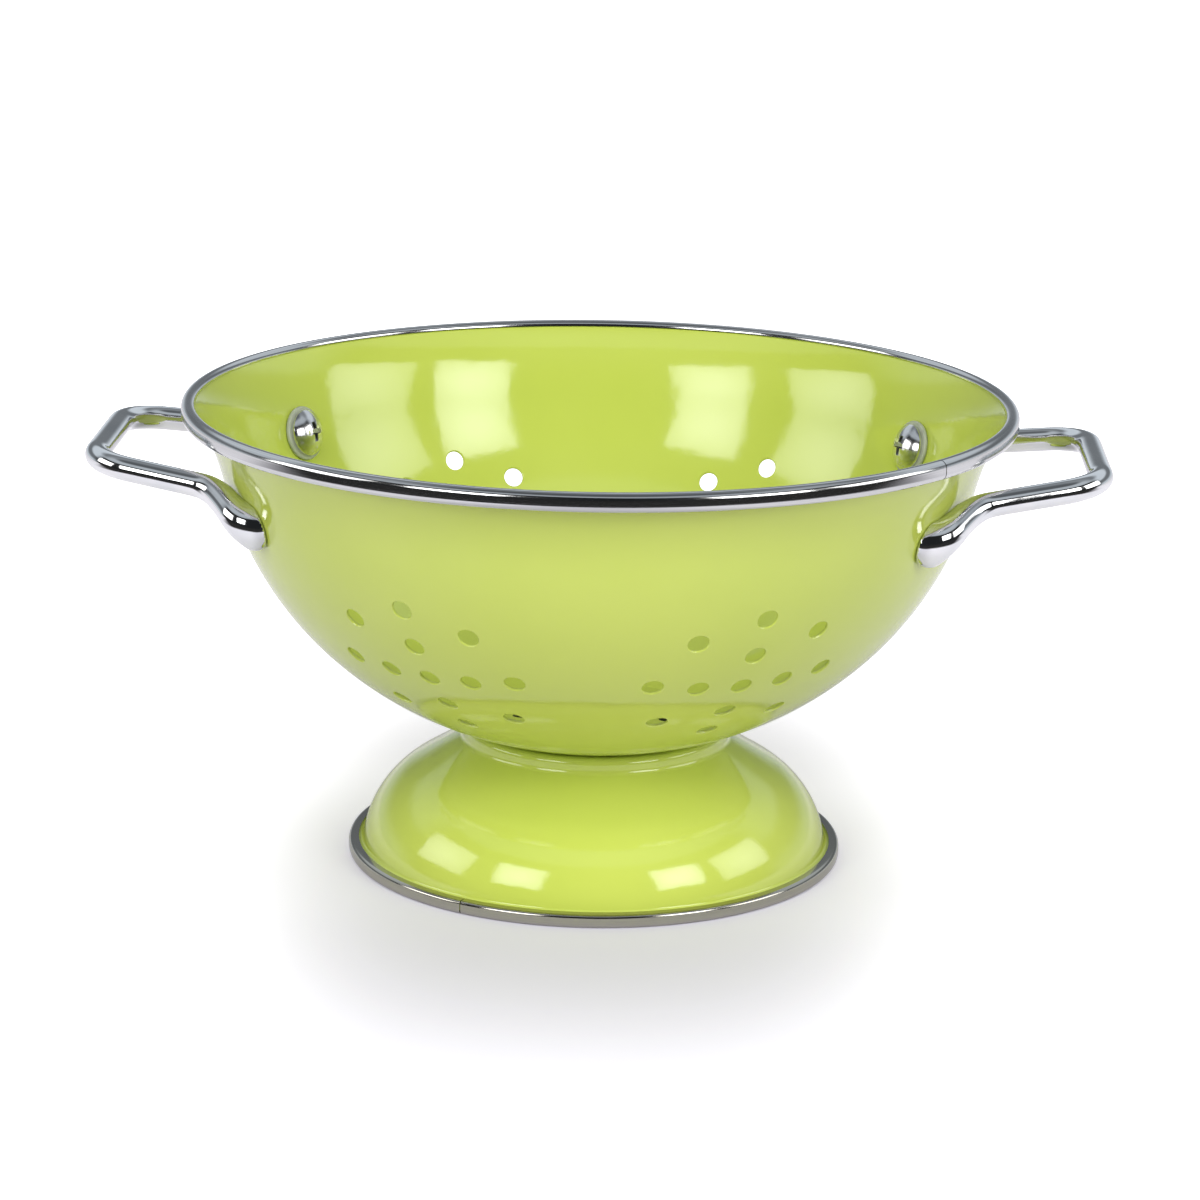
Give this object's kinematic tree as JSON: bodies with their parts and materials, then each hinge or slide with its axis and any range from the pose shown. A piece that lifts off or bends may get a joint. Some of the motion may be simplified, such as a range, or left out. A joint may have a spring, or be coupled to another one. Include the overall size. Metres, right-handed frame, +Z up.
{
  "type": "footed colander",
  "caption": "Small enamelled footed colander: a round bowl punched with star-shaped hole groups, on a flared pedestal foot, with steel edge bands and two loop handles screwed on.",
  "frame": {"origin": "centre of the foot's underside, where the foot band stands on the table", "axes": "+Z up through the bowl's mouth; X through the two handles; -Y is the front, facing the camera of the picture to within about two degrees"},
  "size_m": [0.231, 0.19, 0.1074],
  "materials": {
    "enamel": "glossy yellow-green vitreous enamel",
    "steel_band": "bright rolled stainless strip with fine lengthwise lines",
    "chrome_handle": "polished plating over a casting",
    "chrome_screw": "polished",
    "pale_washer": "pale translucent plastic"
  },
  "bodies": {
    "root": {"bowl": "enamel", "pedestal_foot": "enamel", "rim_band": "steel_band", "foot_band": "steel_band", "left_handle": "chrome_handle", "right_handle": "chrome_handle", "left_front_screw": "chrome_screw", "left_front_washer": "pale_washer", "left_rear_screw": "chrome_screw", "left_rear_washer": "pale_washer", "right_front_screw": "chrome_screw", "right_front_washer": "pale_washer", "right_rear_screw": "chrome_screw", "right_rear_washer": "pale_washer"}
  },
  "joints": []
}
